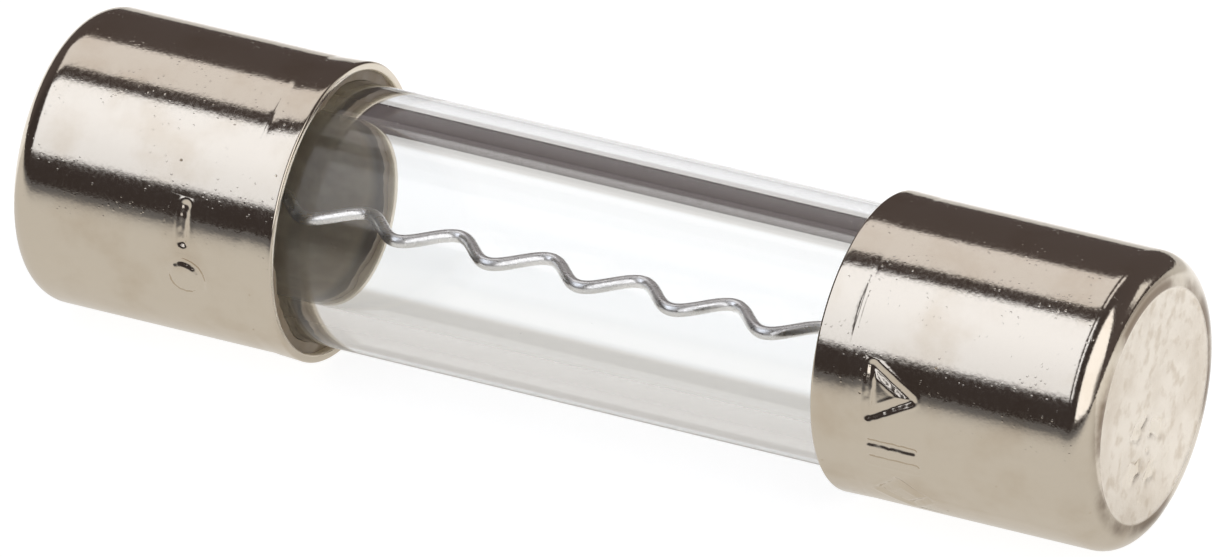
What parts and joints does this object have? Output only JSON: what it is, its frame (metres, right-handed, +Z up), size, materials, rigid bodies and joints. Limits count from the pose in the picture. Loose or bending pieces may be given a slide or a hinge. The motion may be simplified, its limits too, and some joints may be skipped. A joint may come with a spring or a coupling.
{
  "type": "cartridge fuse",
  "caption": "Glass cartridge fuse: a clear tube with a fine wavy wire between two rounded, nickel-plated end caps with plain stamped marks.",
  "frame": {"origin": "centre of the fuse, on the axis of the tube halfway between the two end faces", "axes": "+X along the fuse from the left cap to the right cap, +Z up with the fuse lying on its side"},
  "size_m": [0.0206, 0.0052, 0.0052],
  "materials": {
    "clear_glass": "clear, fire-polished",
    "nickel_plate": "bright nickel on drawn brass, slightly pitted",
    "tinned_wire": "drawn, silvery",
    "solder": "soft grey, smooth flow",
    "amber_cement": "brown resin"
  },
  "bodies": {
    "root": {"glass_tube": "clear_glass", "fuse_wire": "tinned_wire", "end_cap_left": "nickel_plate", "end_cap_right": "nickel_plate", "solder_left": "solder", "solder_right": "solder", "cement_left": "amber_cement", "cement_right": "amber_cement"}
  },
  "joints": []
}
